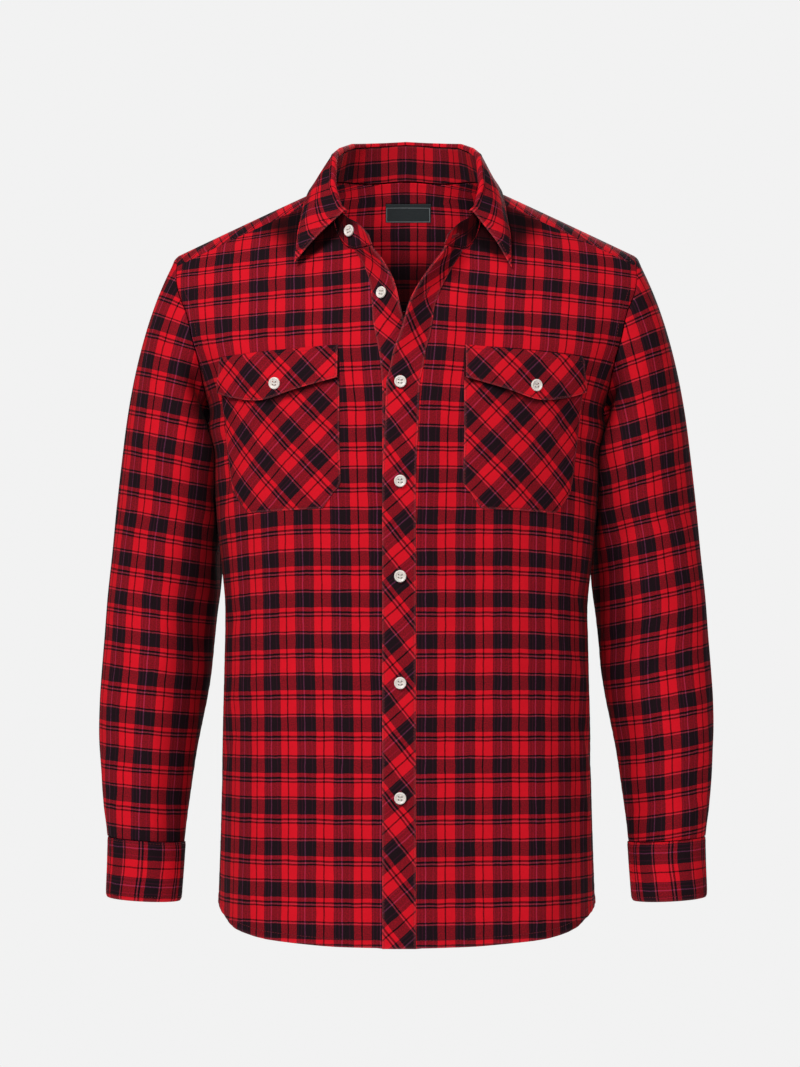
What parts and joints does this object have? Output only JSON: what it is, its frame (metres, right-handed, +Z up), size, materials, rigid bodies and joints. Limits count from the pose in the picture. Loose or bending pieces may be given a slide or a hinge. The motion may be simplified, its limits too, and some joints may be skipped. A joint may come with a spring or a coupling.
{
  "type": "flannel shirt",
  "caption": "Long-sleeved checked flannel shirt, filled out as worn, with an open collar, a buttoned front and two flap pockets.",
  "frame": {"origin": "middle of the neck, level with the shoulder ridge beside the collar, where the wearer's neck and shoulders hold the shirt up", "axes": "+Z up, the front faces -Y, the wearer's left side is +X"},
  "size_m": [0.6164, 0.2797, 0.7994],
  "materials": {
    "flannel": "brushed",
    "woven_label": "satin",
    "button": "satin"
  },
  "bodies": {
    "root": {"back": "flannel", "button_band": "flannel", "button_band_top": "button", "button_cuff_left": "button", "button_cuff_right": "button", "button_flap_left": "button", "button_flap_right": "button", "button_placket_1": "button", "button_placket_2": "button", "button_placket_3": "button", "button_placket_4": "button", "button_placket_5": "button", "button_stand": "button", "collar_fall": "flannel", "collar_stand": "flannel", "cuff_left": "flannel", "cuff_right": "flannel", "flap_left": "flannel", "flap_right": "flannel", "front_left": "flannel", "front_right": "flannel", "neck_label": "woven_label", "placket": "flannel", "pocket_left": "flannel", "pocket_right": "flannel", "sleeve_left": "flannel", "sleeve_placket_left": "flannel", "sleeve_placket_right": "flannel", "sleeve_right": "flannel", "yoke": "flannel"}
  },
  "joints": []
}
